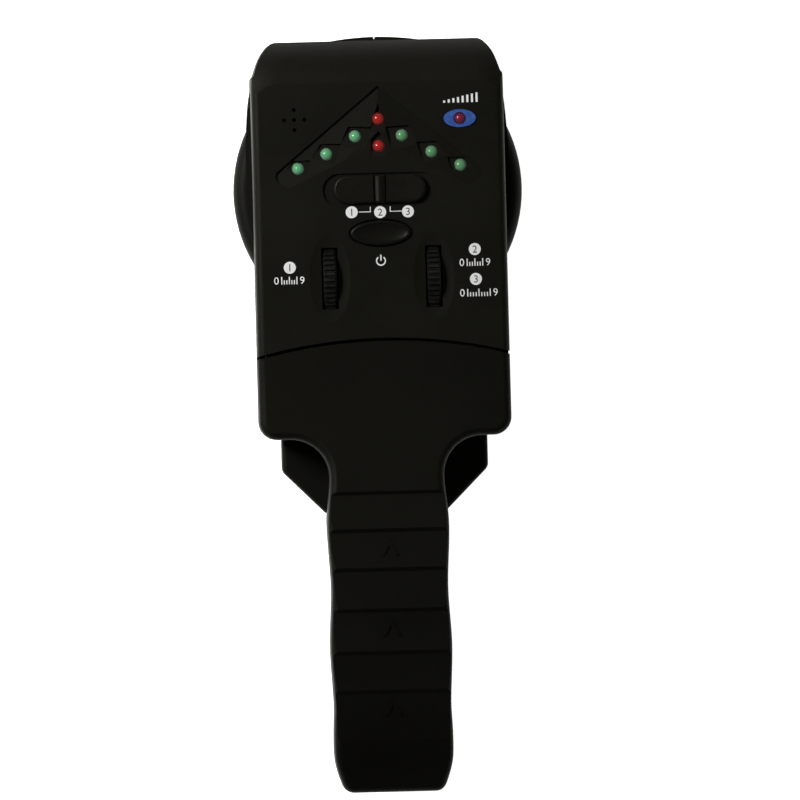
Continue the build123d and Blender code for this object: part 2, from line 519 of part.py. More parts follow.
# ---------------------------------------------------------------- mode switch
KNOB_Y = 0.1
switch = box(-6.4, 6.4, KNOB_Y - 3.4, KNOB_Y + 3.4, PCB_TOP, 26.7) - box(-3.5, 3.5, KNOB_Y - 1.05, KNOB_Y + 1.05, 24.2, 30)
keep("slide_switch_body", switch)
keep("slide_switch_actuator", box(-1.0, 1.0, KNOB_Y - 1.0, KNOB_Y + 1.0, 24.3, 29.4))
knob = prism(Pos(0, KNOB_Y + 0.15) * SlotOverall(KNOB_W, KNOB_H), HEAD_TOP - TRACK_D + 0.05, HEAD_TOP + 1.0)
knob = one(fillet(knob.faces().sort_by(Axis.Z)[-1].edges(), 0.7))
for s in (-1, 1):
    knob = knob - box(s * 1.45 - 0.22, s * 1.45 + 0.22, -20, 20, HEAD_TOP + 0.45, HEAD_TOP + 2)
knob = knob + (cyl_y(0, KNOB_Y - 3.0, KNOB_Y + 3.3, HEAD_TOP - 0.65, 2.0) & box(-1.1, 1.1, -10, 10, HEAD_TOP, HEAD_TOP + 3))
knob = knob + box(-1.9, 1.9, KNOB_Y - 1.45, KNOB_Y + 1.45, 27.3, HEAD_TOP - 0.3)
knob = knob - box(-1.0, 1.0, KNOB_Y - 1.0, KNOB_Y + 1.0, 20, 29.4)
keep("mode_knob", one(knob))

# ---------------------------------------------------------------- power button
tact = box(-3.0, 3.0, BUTTON_Y - 3.0, BUTTON_Y + 3.0, PCB_TOP, 25.1) - cyl(0, BUTTON_Y, 23.0, 30, 1.8)
keep("power_switch_body", tact)
keep("power_switch_plunger", cyl(0, BUTTON_Y, 24.0, 26.2, 1.72))
cap = ellipse_prism(0, BUTTON_Y, BUTTON_RX - 0.4, BUTTON_RY - 0.4, 28.0, HEAD_TOP + 0.75)
cap = one(fillet(cap.faces().sort_by(Axis.Z)[-1].edges(), 0.6))
cap = cap + ellipse_prism(0, BUTTON_Y, BUTTON_RX + 0.9, BUTTON_RY + 0.9, 28.0, 29.4)
cap = cap - Pos(0, BUTTON_Y, HEAD_TOP + 0.8) * scale(Sphere(1), by=(6.9, 2.6, 0.6))
cap = cap + cyl(0, BUTTON_Y, 26.2, 28.3, 1.9)
keep("power_button", one(cap))


# ---------------------------------------------------------------- thumbwheels
def thumbwheel(cx_):
    pts = []
    for k in range(WHEEL_TEETH):
        a = 2 * math.pi * k / WHEEL_TEETH
        da = 2 * math.pi / WHEEL_TEETH
        for f, r in ((0.0, WHEEL_R), (0.44, WHEEL_R), (0.6, WHEEL_R - 0.5), (0.84, WHEEL_R - 0.5)):
            pts.append((cx_ - WHEEL_W / 2, WHEEL_Y + r * math.cos(a + f * da), WHEEL_Z + r * math.sin(a + f * da)))
    w = extrude(make_face(Polyline(*pts, close=True)), WHEEL_W, dir=(1, 0, 0))
    # bevelled rims
    Q = lambda x, r: (cx_ + x, WHEEL_Y + r, WHEEL_Z)
    h = WHEEL_W / 2
    rim = make_face(Polyline(Q(-h, 0), Q(-h, WHEEL_R - 0.55), Q(-h + 0.6, WHEEL_R + 0.05), Q(h - 0.6, WHEEL_R + 0.05), Q(h, WHEEL_R - 0.55), Q(h, 0), close=True))
    w = w & revolve(rim, Axis((cx_, WHEEL_Y, WHEEL_Z), (1, 0, 0)), 360)
    w = w - cyl_x(cx_ - 5, cx_ + 5, WHEEL_Y, WHEEL_Z, 2.0)
    for q in (-1, 1):
        ring = cyl_x(cx_ + q * (h - 0.6), cx_ + q * (h + 1), WHEEL_Y, WHEEL_Z, 7.6) - cyl_x(cx_ - 5, cx_ + 5, WHEEL_Y, WHEEL_Z, 3.6)
        w = w - ring
    return one(w)


for name, s in (("left", -1), ("right", 1)):
    keep(f"{name}_thumbwheel", thumbwheel(s * WHEEL_X))
    keep(f"{name}_wheel_shaft", cyl_x(min(s * 15.3, s * 8.0), max(s * 15.3, s * 8.0), WHEEL_Y, WHEEL_Z, 2.0))
    pot = box(s * 7.4, s * 11.3, WHEEL_Y - 5.0, WHEEL_Y + 5.0, PCB_TOP, 29.2)
    keep(f"{name}_potentiometer", pot - cyl_x(min(s * 7.9, s * 14), max(s * 7.9, s * 14), WHEEL_Y, WHEEL_Z, 2.05))

# ---------------------------------------------------------------- sensing head
keep("sole_plate", cyl(0, 0, 0, SOLE_T, COIL_ROOM_R))
former = cyl(0, 0, SOLE_T, COIL_CEIL, COIL_RO + 1.0) - cyl(0, 0, 0, 20, COIL_RI - 1.2)
former = former - (cyl(0, 0, SOLE_T + 0.8, COIL_CEIL - 0.8, 40) - cyl(0, 0, 0, 20, COIL_RI))
former = former - cyl(-4, -28.5, 6, 12, 0.9) - cyl(4, -28.5, 6, 12, 0.9)
keep("coil_former", one(former))
keep("search_coil", cyl(0, 0, SOLE_T + 0.8, COIL_CEIL - 0.8, COIL_RO) - cyl(0, 0, 0, 20, COIL_RI))
keep("coil_leads", group([cyl(x, -28.5, COIL_CEIL - 0.8, PCB_Z0, 0.4) for x in (-4, 4)]))
keep("sensor_board", cyl(0, 0, 4.0, 5.2, 22.0))
keep("sensor_plates", group([(cyl(0, 0, 3.8, 4.0, 19.0) & box(1.0 if s > 0 else -30, 30 if s > 0 else -1.0, -30, 30, 0, 10)) for s in (-1, 1)]))
keep("sensor_cable", box(-2.5, 2.5, 7.6, 8.2, 5.2, PCB_Z0))

# ---------------------------------------------------------------- battery and its wiring
BY0, BY1 = BATT_Y0 - 0.5, BATT_Y0 - 0.5 + 46.2
batt = box(-BATT_W / 2, BATT_W / 2, BY0, BY1, BATT_Z0, BATT_Z0 + BATT_H)
batt = one(fillet(batt.edges().filter_by(Axis.Y), 1.6))
keep("battery", batt)
TZ = BATT_Z0 + BATT_H / 2
terms = [cyl_y(-6.35, BY1, BY1 + 2.6, TZ, 2.9), cyl_y(6.35, BY1, BY1 + 2.6, TZ, 4.0) - cyl_y(6.35, BY1 + 0.6, BY1 + 3, TZ, 3.0)]
keep("battery_terminals", group(terms))
snap = box(-12.7, 12.7, BY1 + 0.3, BY1 + 5.3, TZ - 6.0, TZ + 6.0)
snap = snap - cyl_y(-6.35, BY1, BY1 + 2.6, TZ, 3.1) - cyl_y(6.35, BY1, BY1 + 2.6, TZ, 4.2)
keep("battery_snap", one(snap))


def lead(points, ends, r=0.65):
    path = Spline(*points, tangents=ends)
    return sweep(Plane(origin=path @ 0, z_dir=path % 0) * Circle(r), path=path)


for name, s in (("battery_lead_red", 1), ("battery_lead_black", -1)):
    keep(name, lead([(s * 4.0, BY1 + 5.5, TZ + 1), (s * 4.2, BY1 + 10.0, TZ + 0.7), (s * 6.5, -70, 22.5), (s * 6.0, -52, 17.6),
                     (s * 7.5, -38, 16.6), (s * 7.5, -33.0, PCB_Z0)], [(0, 1, 0), (0, 0, 1)]))
keep("battery_pad", box(-9, 9, -126, -104, BATT_Z0 + BATT_H, 35.2))

# ---------------------------------------------------------------- battery door
door = plan([(-13.2, DOOR_Y0 - 0.15), (13.2, DOOR_Y0 - 0.15), (13.2, -152.6), (12.3, -154.4), (10.2, -155.2), (-10.2, -155.2),
             (-12.3, -154.4), (-13.2, -152.6)], GRIP_BOTTOM, 16.2)
door = door + box(-13.75, 13.75, -146.0, DOOR_Y0 - 0.15, 15.0, 15.7)
for k in range(3):
    door = door - cyl_x(-7, 7, -147.0 + 2.2 * k, GRIP_BOTTOM - 0.1, 0.7)
door = door - plan([(0, -139.0), (3.2, -134.6), (1.3, -134.6), (1.3, -130.5), (-1.3, -130.5), (-1.3, -134.6), (-3.2, -134.6)], 13, GRIP_BOTTOM + 0.4)
keep("battery_door", one(door))

for name, shape in PARTS.items():
    export_step(shape, f"parts/{name}.step")
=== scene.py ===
"""Looks of the wall detector: procedural plastics, lamps, printed marks, soft studio light and a camera from straight above."""
import math

import bmesh
import bpy
from mathutils import Matrix, Vector


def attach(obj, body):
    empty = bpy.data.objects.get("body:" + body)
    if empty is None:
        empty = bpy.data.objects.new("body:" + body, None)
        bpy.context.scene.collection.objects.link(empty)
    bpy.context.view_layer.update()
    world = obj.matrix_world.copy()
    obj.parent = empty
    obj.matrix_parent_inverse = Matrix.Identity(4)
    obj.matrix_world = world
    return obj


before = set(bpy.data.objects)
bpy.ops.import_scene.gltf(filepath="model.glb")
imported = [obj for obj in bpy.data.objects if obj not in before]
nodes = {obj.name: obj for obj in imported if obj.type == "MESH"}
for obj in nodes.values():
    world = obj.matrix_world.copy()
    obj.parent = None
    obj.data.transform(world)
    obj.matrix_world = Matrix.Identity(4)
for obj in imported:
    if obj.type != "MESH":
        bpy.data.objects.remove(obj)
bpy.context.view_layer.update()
MM = 0.001


# ------------------------------------------------------------------------------------------------ node helpers
class Mat:
    """Small helper that builds a Principled material with named noise, bump and mix nodes."""

    def __init__(self, name, color, rough, **kw):
        self.m = bpy.data.materials.new(name)
        self.m.use_nodes = True
        self.t = self.m.node_tree
        self.t.nodes.clear()
        self.out = self.t.nodes.new("ShaderNodeOutputMaterial")
        self.b = self.t.nodes.new("ShaderNodeBsdfPrincipled")
        self.t.links.new(self.b.outputs[0], self.out.inputs[0])
        self.coord = self.t.nodes.new("ShaderNodeTexCoord")
        self.b.inputs["Base Color"].default_value = (*color, 1)
        self.b.inputs["Roughness"].default_value = rough
        for k, v in kw.items():
            self.b.inputs[k.replace("_", " ")].default_value = v
        self.height = None

    def link(self, a, b):
        self.t.links.new(a, b)

    def mapping(self, scale=(1, 1, 1), rot=(0, 0, 0), loc=(0, 0, 0)):
        n = self.t.nodes.new("ShaderNodeMapping")
        n.inputs["Scale"].default_value = scale
        n.inputs["Rotation"].default_value = rot
        n.inputs["Location"].default_value = loc
        self.link(self.coord.outputs["Object"], n.inputs["Vector"])
        return n.outputs[0]

    def noise(self, scale, detail=2.0, rough=0.5, vec=None, distortion=0.0):
        n = self.t.nodes.new("ShaderNodeTexNoise")
        n.inputs["Scale"].default_value = scale
        n.inputs["Detail"].default_value = detail
        n.inputs["Roughness"].default_value = rough
        n.inputs["Distortion"].default_value = distortion
        self.link(vec or self.coord.outputs["Object"], n.inputs["Vector"])
        return n.outputs["Fac"]

    def voronoi(self, scale, feature="F1", vec=None, smooth=None, out="Distance"):
        n = self.t.nodes.new("ShaderNodeTexVoronoi")
        n.feature = feature
        n.inputs["Scale"].default_value = scale
        self.link(vec or self.coord.outputs["Object"], n.inputs["Vector"])
        return n.outputs[out]

    def ramp(self, fac, stops):
        n = self.t.nodes.new("ShaderNodeValToRGB")
        e = n.color_ramp.elements
        while len(e) > 1:
            e.remove(e[0])
        e[0].position, e[0].color = stops[0][0], (*stops[0][1], 1)
        for p, c in stops[1:]:
            x = e.new(p)
            x.color = (*c, 1)
        self.link(fac, n.inputs[0])
        return n.outputs[0]

    def range(self, fac, lo, hi, fmin=0.0, fmax=1.0):
        n = self.t.nodes.new("ShaderNodeMapRange")
        n.inputs["From Min"].default_value = fmin
        n.inputs["From Max"].default_value = fmax
        n.inputs["To Min"].default_value = lo
        n.inputs["To Max"].default_value = hi
        self.link(fac, n.inputs["Value"])
        return n.outputs[0]

    def math(self, op, a, b=None):
        n = self.t.nodes.new("ShaderNodeMath")
        n.operation = op
        for i, v in enumerate((a, b)):
            if v is None:
                continue
            if isinstance(v, (int, float)):
                n.inputs[i].default_value = v
            else:
                self.link(v, n.inputs[i])
        return n.outputs[0]

    def mix(self, fac, a, b):
        n = self.t.nodes.new("ShaderNodeMix")
        n.data_type = "RGBA"
        if isinstance(fac, (int, float)):
            n.inputs[0].default_value = fac
        else:
            self.link(fac, n.inputs[0])
        for i, v in ((6, a), (7, b)):
            if isinstance(v, tuple):
                n.inputs[i].default_value = (*v, 1)
            else:
                self.link(v, n.inputs[i])
        return n.outputs[2]

    def xyz(self, vec=None):
        n = self.t.nodes.new("ShaderNodeSeparateXYZ")
        self.link(vec or self.coord.outputs["Object"], n.inputs[0])
        return n.outputs

    def color(self, c):
        self.link(c, self.b.inputs["Base Color"])

    def rough(self, r):
        self.link(r, self.b.inputs["Roughness"])

    def bump(self, height, strength, distance):
        n = self.t.nodes.new("ShaderNodeBump")
        n.inputs["Strength"].default_value = strength
        n.inputs["Distance"].default_value = distance
        self.link(height, n.inputs["Height"])
        if self.height is not None:
            self.link(self.height, n.inputs["Normal"])
        self.height = n.outputs[0]
        self.link(self.height, self.b.inputs["Normal"])


def textured_plastic(name, dark, light, rough, grain=1.0, smudge=0.05, spec=0.35):
    """Moulded black plastic with a spark-eroded texture, faint flow shading and handling marks."""
    m = Mat(name, dark, rough, Specular_IOR_Level=spec, Specular_Tint=(1.0, 0.98, 0.80, 1.0))
    big = m.noise(38.0, 3.0, 0.55)
    mid = m.noise(420.0, 3.0, 0.6)
    fine = m.noise(2600.0, 2.0, 0.65)
    pits = m.voronoi(3400.0)
    tone = m.math("ADD", m.math("MULTIPLY", big, 0.6), m.math("MULTIPLY", mid, 0.4))
    col = m.ramp(tone, [(0.32, dark), (0.72, light)])
    speck = m.ramp(fine, [(0.45, (0, 0, 0)), (0.75, tuple(0.35 * c for c in light))])
    add = m.t.nodes.new("ShaderNodeMix")
    add.data_type = "RGBA"
    add.blend_type = "ADD"
    add.inputs[0].default_value = 1.0
    m.link(col, add.inputs[6])
    m.link(speck, add.inputs[7])
    m.color(add.outputs[2])
    m.rough(m.math("ADD", m.range(big, rough - smudge, rough + smudge, 0.3, 0.7), m.range(fine, -0.04, 0.04, 0.3, 0.7)))
    m.bump(m.math("ADD", m.math("MULTIPLY", fine, 0.6), m.math("MULTIPLY", pits, 0.4)), 0.35 * grain, 0.00006)
    m.bump(mid, 0.10, 0.00010)
    return m.m


def assign(mat, *names):
    for n in names:
        o = nodes[n]
        o.data.materials.clear()
        o.data.materials.append(mat)


# ------------------------------------------------------------------------------------------------ materials
shell = textured_plastic("black_shell_texture", (0.0030, 0.0029, 0.0022), (0.0051, 0.0049, 0.0037), 0.52, spec=0.12)
grip = textured_plastic("black_grip_texture", (0.0020, 0.0019, 0.0014), (0.0034, 0.0032, 0.0024), 0.56, grain=1.25, spec=0.10)
base = textured_plastic("black_base_texture", (0.0022, 0.0021, 0.0017), (0.0037, 0.0036, 0.0027), 0.54, spec=0.105)
control = textured_plastic("black_control_satin", (0.0034, 0.0033, 0.0025), (0.0056, 0.0053, 0.0042), 0.44, grain=0.45, smudge=0.08, spec=0.14)
assign(shell, "head_cover")
assign(grip, "handle_cover")
assign(base, "lower_shell", "battery_door")
assign(control, "mode_knob", "power_button")

# thumbwheels: satin plastic, lighter on the crests of the teeth in uneven patches and darker between them
m = Mat("wheel_plastic", (0.006, 0.0057, 0.0047), 0.44, Specular_IOR_Level=0.16)
x, y, z = m.xyz()
ry = m.math("ADD", y, 0.0226)
rz = m.math("SUBTRACT", z, 0.0246)
rad = m.math("SQRT", m.math("ADD", m.math("MULTIPLY", ry, ry), m.math("MULTIPLY", rz, rz)))
crest = m.range(rad, 0.0, 1.0, 0.00912, 0.0095)
patch_noise = m.noise(900.0, 3.0, 0.6)
m.color(m.mix(m.math("MULTIPLY", crest, m.range(patch_noise, 0.2, 1.0, 0.35, 0.65)), (0.0028, 0.0027, 0.0021), (0.0110, 0.0104, 0.0085)))
m.rough(m.range(patch_noise, 0.38, 0.55, 0.3, 0.7))
m.bump(m.noise(3000.0, 2.0), 0.25, 0.00005)
assign(m.m, "left_thumbwheel", "right_thumbwheel", "left_wheel_shaft", "right_wheel_shaft")

# low-friction pad under the coil: pressed grey-black board with fine fibres
m = Mat("sole_pad_fibre", (0.03, 0.03, 0.03), 0.85)
f = m.noise(900.0, 5.0, 0.7, vec=m.mapping(scale=(1, 6, 1)))
g = m.noise(2200.0, 2.0, 0.6)
m.color(m.ramp(m.math("ADD", m.math("MULTIPLY", f, 0.6), m.math("MULTIPLY", g, 0.4)), [(0.35, (0.018, 0.018, 0.018)), (0.7, (0.06, 0.06, 0.058))]))
m.bump(f, 0.4, 0.00008)
assign(m.m, "sole_plate")


def lamp(name, core, body, rim, centre, glow):
    """Tinted epoxy lamp: the reflector cup and chip show through the dome as soft, slightly uneven patches."""
    m = Mat(name, body, 0.22, Coat_Weight=0.35, Coat_Roughness=0.12, Specular_IOR_Level=0.3)
    x, y, z = m.xyz()
    dx = m.math("SUBTRACT", x, centre[0] * MM)
    dy = m.math("SUBTRACT", y, centre[1] * MM)
    r = m.math("SQRT", m.math("ADD", m.math("MULTIPLY", dx, dx), m.math("MULTIPLY", dy, dy)))
    wob = m.noise(1300.0, 3.0, 0.6)
    fine = m.noise(4200.0, 2.0, 0.6)
    rr = m.math("ADD", m.math("MULTIPLY", r, 1000.0), m.range(wob, -0.45, 0.45, 0.3, 0.7))
    col = m.ramp(m.range(rr, 0.0, 1.0, 0.0, 1.7), [(0.0, core), (0.34, body), (0.62, tuple(0.85 * c for c in rim)), (0.80, rim),
                                                  (0.95, tuple(0.5 * c for c in rim)), (1.0, tuple(0.2 * c for c in rim))])
    shade = m.mix(m.range(fine, 0.0, 0.35, 0.4, 0.7), col, tuple(1.25 * c for c in rim))
    m.color(shade)
    m.link(shade, m.b.inputs["Emission Color"])
    m.b.inputs["Emission Strength"].default_value = glow
    m.rough(m.range(wob, 0.16, 0.32, 0.3, 0.7))
    m.bump(wob, 0.12, 0.00005)
    return m.m


LAMPS = {
    "led_left_outer": (-20.95, 5.9), "led_left_middle": (-13.55, 9.5), "led_left_inner": (-6.05, 13.9),
    "led_right_inner": (6.05, 13.9), "led_right_middle": (13.55, 9.5), "led_right_outer": (20.95, 5.9),
    "led_centre_upper": (0.0, 18.3), "led_centre_lower": (0.0, 11.3),
}
GREEN = {"led_left": ((0.050, 0.33, 0.115), (0.075, 0.34, 0.140), (0.115, 0.26, 0.155)),
         "led_righ": ((0.042, 0.24, 0.075), (0.066, 0.25, 0.090), (0.100, 0.20, 0.115))}
for name, c in LAMPS.items():
    if "centre" in name:
        assign(lamp(f"lens_{name}", (0.33, 0.005, 0.004), (0.25, 0.007, 0.006), (0.17, 0.014, 0.012), c, 0.55), name)
    else:
        assign(lamp(f"lens_{name}", *GREEN[name[:8]], c, 0.28), name)
POWER = (21.05, 17.9)
assign(lamp("lens_power", (0.17, 0.005, 0.014), (0.125, 0.007, 0.017), (0.065, 0.009, 0.030), POWER, 0.55), "power_led")

m = Mat("blue_bezel_gloss", (0.020, 0.055, 0.20), 0.26, Coat_Weight=0.35, Coat_Roughness=0.15, Specular_IOR_Level=0.4)
w = m.noise(700.0, 3.0, 0.5)
m.color(m.ramp(w, [(0.3, (0.030, 0.085, 0.30)), (0.7, (0.050, 0.125, 0.42))]))
m.rough(m.range(w, 0.18, 0.3, 0.3, 0.7))
m.bump(m.noise(2500.0, 2.0), 0.12, 0.00003)
assign(m.m, "power_bezel")

# metals
m = Mat("nickel_plate", (0.55, 0.54, 0.50), 0.28, Metallic=1.0)
w = m.noise(2600.0, 3.0, 0.6, vec=m.mapping(scale=(1, 1, 0.2)))
m.color(m.ramp(w, [(0.3, (0.42, 0.41, 0.38)), (0.7, (0.62, 0.61, 0.57))]))
m.rough(m.range(w, 0.2, 0.42, 0.3, 0.7))
m.bump(w, 0.15, 0.00003)
assign(m.m, "front_case_screws", "rear_case_screws", "grip_screw", "board_screws", "led_leads", "battery_terminals")
m = Mat("tinned_cover", (0.5, 0.5, 0.47), 0.38, Metallic=1.0)
w = m.noise(1500.0, 4.0, 0.6)
m.color(m.ramp(w, [(0.3, (0.36, 0.36, 0.34)), (0.7, (0.56, 0.56, 0.53))]))
m.rough(m.range(w, 0.3, 0.5, 0.3, 0.7))
m.bump(w, 0.2, 0.00004)
assign(m.m, "slide_switch_body", "left_potentiometer", "right_potentiometer")
m = Mat("enamelled_copper", (0.60, 0.22, 0.08), 0.3, Metallic=0.9)
w = m.t.nodes.new("ShaderNodeTexWave")
w.wave_type = "RINGS"
w.rings_direction = "Z"
w.inputs["Scale"].default_value = 900.0
m.link(m.coord.outputs["Object"], w.inputs["Vector"])
m.color(m.ramp(w.outputs["Fac"], [(0.1, (0.30, 0.10, 0.04)), (0.8, (0.66, 0.26, 0.10))]))
m.bump(w.outputs["Fac"], 0.6, 0.00008)
m.rough(m.range(m.noise(1200.0), 0.25, 0.42, 0.3, 0.7))
assign(m.m, "search_coil", "coil_leads", "sensor_plates")

# circuit parts
m = Mat("solder_mask", (0.010, 0.10, 0.035), 0.3, Coat_Weight=0.4, Coat_Roughness=0.15)
brick = m.t.nodes.new("ShaderNodeTexBrick")
brick.inputs["Scale"].default_value = 260.0
brick.inputs["Color1"].default_value = (0.008, 0.085, 0.030, 1)
brick.inputs["Color2"].default_value = (0.012, 0.120, 0.045, 1)
brick.inputs["Mortar"].default_value = (0.020, 0.170, 0.060, 1)
brick.inputs["Mortar Size"].default_value = 0.06
m.link(m.coord.outputs["Object"], brick.inputs["Vector"])
m.color(brick.outputs["Color"])
m.rough(m.range(m.noise(600.0), 0.24, 0.42, 0.3, 0.7))
m.bump(brick.outputs["Fac"], 0.3, 0.00003)
assign(m.m, "main_board", "sensor_board")


def plain_detail(name, lo, hi, rough, scale=1400.0, bump=0.25, **kw):
    m = Mat(name, lo, rough, **kw)
    w = m.noise(scale, 3.0, 0.6)
    m.color(m.ramp(w, [(0.3, lo), (0.7, hi)]))
    m.rough(m.range(m.noise(scale * 0.3, 2.0), rough - 0.06, rough + 0.08, 0.3, 0.7))
    m.bump(w, bump, 0.00005)
    return m.m


assign(plain_detail("moulded_epoxy", (0.012, 0.012, 0.012), (0.022, 0.022, 0.021), 0.6), "controller_ic", "amplifier_ic", "transistors",
       "piezo_buzzer", "slide_switch_actuator", "power_switch_body")
assign(plain_detail("natural_moulding", (0.62, 0.59, 0.50), (0.74, 0.71, 0.62), 0.5), "coil_former", "power_switch_plunger")
assign(plain_detail("shrink_sleeve", (0.012, 0.02, 0.09), (0.02, 0.035, 0.14), 0.32, Coat_Weight=0.4), "electrolytic_capacitors")
assign(plain_detail("dipped_resin", (0.55, 0.24, 0.04), (0.66, 0.32, 0.07), 0.35, scale=900.0, Coat_Weight=0.5), "ceramic_capacitors")
assign(plain_detail("vinyl_black", (0.010, 0.010, 0.010), (0.02, 0.02, 0.019), 0.45), "battery_snap")
assign(plain_detail("red_insulation", (0.42, 0.012, 0.012), (0.52, 0.02, 0.018), 0.4), "battery_lead_red")
assign(plain_detail("black_insulation", (0.010, 0.010, 0.010), (0.02, 0.02, 0.019), 0.4), "battery_lead_black")
assign(plain_detail("ribbon_grey", (0.34, 0.34, 0.35), (0.44, 0.44, 0.45), 0.5), "sensor_cable")
assign(plain_detail("closed_foam", (0.012, 0.012, 0.012), (0.04, 0.04, 0.04), 0.95, scale=2400.0, bump=0.8), "battery_pad")

# resistors: sand-coloured lacquer with plain rings
m = Mat("resistor_lacquer", (0.62, 0.48, 0.30), 0.35, Coat_Weight=0.3)
x, y, z = m.xyz()
band = m.t.nodes.new("ShaderNodeTexWave")
band.wave_type = "BANDS"
band.bands_direction = "X"
band.inputs["Scale"].default_value = 190.0
m.link(m.coord.outputs["Object"], band.inputs["Vector"])
m.color(m.ramp(band.outputs["Fac"], [(0.0, (0.62, 0.48, 0.30)), (0.80, (0.62, 0.48, 0.30)), (0.86, (0.30, 0.05, 0.02)), (1.0, (0.30, 0.05, 0.02))]))
m.rough(m.range(m.noise(900.0), 0.28, 0.45, 0.3, 0.7))
m.bump(m.noise(1600.0), 0.2, 0.00004)
assign(m.m, "resistors")

# battery: plain printed jacket, dark with a bronze end, no lettering
m = Mat("battery_jacket", (0.02, 0.02, 0.022), 0.35, Metallic=0.35, Coat_Weight=0.5, Coat_Roughness=0.12)
x, y, z = m.xyz()
edge = m.range(y, 0.0, 1.0, -0.1092, -0.1090)
w = m.noise(1800.0, 3.0, 0.6, vec=m.mapping(scale=(1, 0.1, 1)))
m.color(m.mix(edge, m.ramp(w, [(0.3, (0.016, 0.016, 0.018)), (0.7, (0.028, 0.028, 0.03))]), m.ramp(w, [(0.3, (0.36, 0.19, 0.07)), (0.7, (0.46, 0.26, 0.11))])))
m.rough(m.range(w, 0.28, 0.42, 0.3, 0.7))
m.bump(w, 0.15, 0.00003)
assign(m.m, "battery")

# ------------------------------------------------------------------------------------------------ printed marks
ink = Mat("white_print", (0.86, 0.86, 0.84), 0.62, Specular_IOR_Level=0.2)
w = ink.noise(2600.0, 3.0, 0.7)
ink.color(ink.ramp(w, [(0.28, (0.66, 0.66, 0.64)), (0.42, (0.84, 0.84, 0.82)), (0.7, (0.90, 0.90, 0.88))]))
ink.rough(ink.range(w, 0.55, 0.72, 0.3, 0.7))
ink.bump(w, 0.3, 0.00002)
ink.b.inputs["Emission Color"].default_value = (0.9, 0.9, 0.88, 1)
ink.b.inputs["Emission Strength"].default_value = 0.0
INK = ink.m
TOP = 0.0315
LIFT = 0.00002      # back of the ink film above the face
FILM = 0.00004      # its thickness


def film(name, polys, z0=TOP + LIFT, z1=TOP + LIFT + FILM, mat=None, body="housing"):
    """Closed thin prisms from plan outlines in mm, each a list of points (a ring is an outline with its hole as a second list)."""
    bm = bmesh.new()
    for outline, hole in polys:
        n = len(outline)
        if hole is None:
            lo = [bm.verts.new((px * MM, py * MM, z0)) for px, py in outline]
            hi = [bm.verts.new((px * MM, py * MM, z1)) for px, py in outline]
            bm.faces.new(hi)
            bm.faces.new(lo[::-1])
            for i in range(n):
                j = (i + 1) % n
                bm.faces.new((lo[i], lo[j], hi[j], hi[i]))
        else:
            rings = []
            for pts in (outline, hole):
                rings.append(([bm.verts.new((px * MM, py * MM, z0)) for px, py in pts], [bm.verts.new((px * MM, py * MM, z1)) for px, py in pts]))
            (ol, oh), (il, ih) = rings
            for i in range(n):
                j = (i + 1) % n
                bm.faces.new((ol[i], ol[j], oh[j], oh[i]))
                bm.faces.new((il[j], il[i], ih[i], ih[j]))
                bm.faces.new((oh[i], oh[j], ih[j], ih[i]))
                bm.faces.new((ol[j], ol[i], il[i], il[j]))
    bmesh.ops.recalc_face_normals(bm, faces=bm.faces)
    me = bpy.data.meshes.new(name)
    bm.to_mesh(me)
    bm.free()
    ob = bpy.data.objects.new(name, me)
    bpy.context.collection.objects.link(ob)
    me.materials.append(mat or INK)
    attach(ob, body)
    return ob


def circle(cx, cy, r, n=48):
    return [(cx + r * math.cos(2 * math.pi * k / n), cy + r * math.sin(2 * math.pi * k / n)) for k in range(n)]


def bar(x0, y0, x1, y1):
    return [(x0, y0), (x1, y0), (x1, y1), (x0, y1)]


def arc_band(cx, cy, r, w, a0, a1, n=40):
    pts = [(cx + (r + w / 2) * math.cos(a0 + (a1 - a0) * k / n), cy + (r + w / 2) * math.sin(a0 + (a1 - a0) * k / n)) for k in range(n + 1)]
    pts += [(cx + (r - w / 2) * math.cos(a1 + (a0 - a1) * k / n), cy + (r - w / 2) * math.sin(a1 + (a0 - a1) * k / n)) for k in range(n + 1)]
    return pts


def digits(name, text, cx, cy, height, mat, z0, z1, spacing=1.0, body="housing"):
    """Plain numerals as a closed thin mesh."""
    cu = bpy.data.curves.new(name + "_src", "FONT")
    cu.body = text
    cu.size = height * MM * 1.38
    cu.align_x = "CENTER"
    cu.align_y = "CENTER"
    cu.space_character = spacing
    cu.resolution_u = 6
    cu.extrude = (z1 - z0) / 2
    src = bpy.data.objects.new(name + "_src", cu)
    bpy.context.collection.objects.link(src)
    bpy.context.view_layer.update()
    dg = bpy.context.evaluated_depsgraph_get()
    me = bpy.data.meshes.new_from_object(src.evaluated_get(dg))
    bpy.data.objects.remove(src)
    xs = [v.co.x for v in me.vertices]
    ys = [v.co.y for v in me.vertices]
    ox, oy = (min(xs) + max(xs)) / 2, (min(ys) + max(ys)) / 2
    me.transform(Matrix.Translation((cx * MM - ox, cy * MM - oy, (z0 + z1) / 2)))
    bm = bmesh.new()
    bm.from_mesh(me)
    bmesh.ops.remove_doubles(bm, verts=bm.verts, dist=1e-7)
    bmesh.ops.recalc_face_normals(bm, faces=bm.faces)
    bm.to_mesh(me)
    bm.free()
    me.name = name
    ob = bpy.data.objects.new(name, me)
    bpy.context.collection.objects.link(ob)
    me.materials.clear()
    me.materials.append(mat)
    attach(ob, body)
    return ob


Z1 = TOP + LIFT + FILM
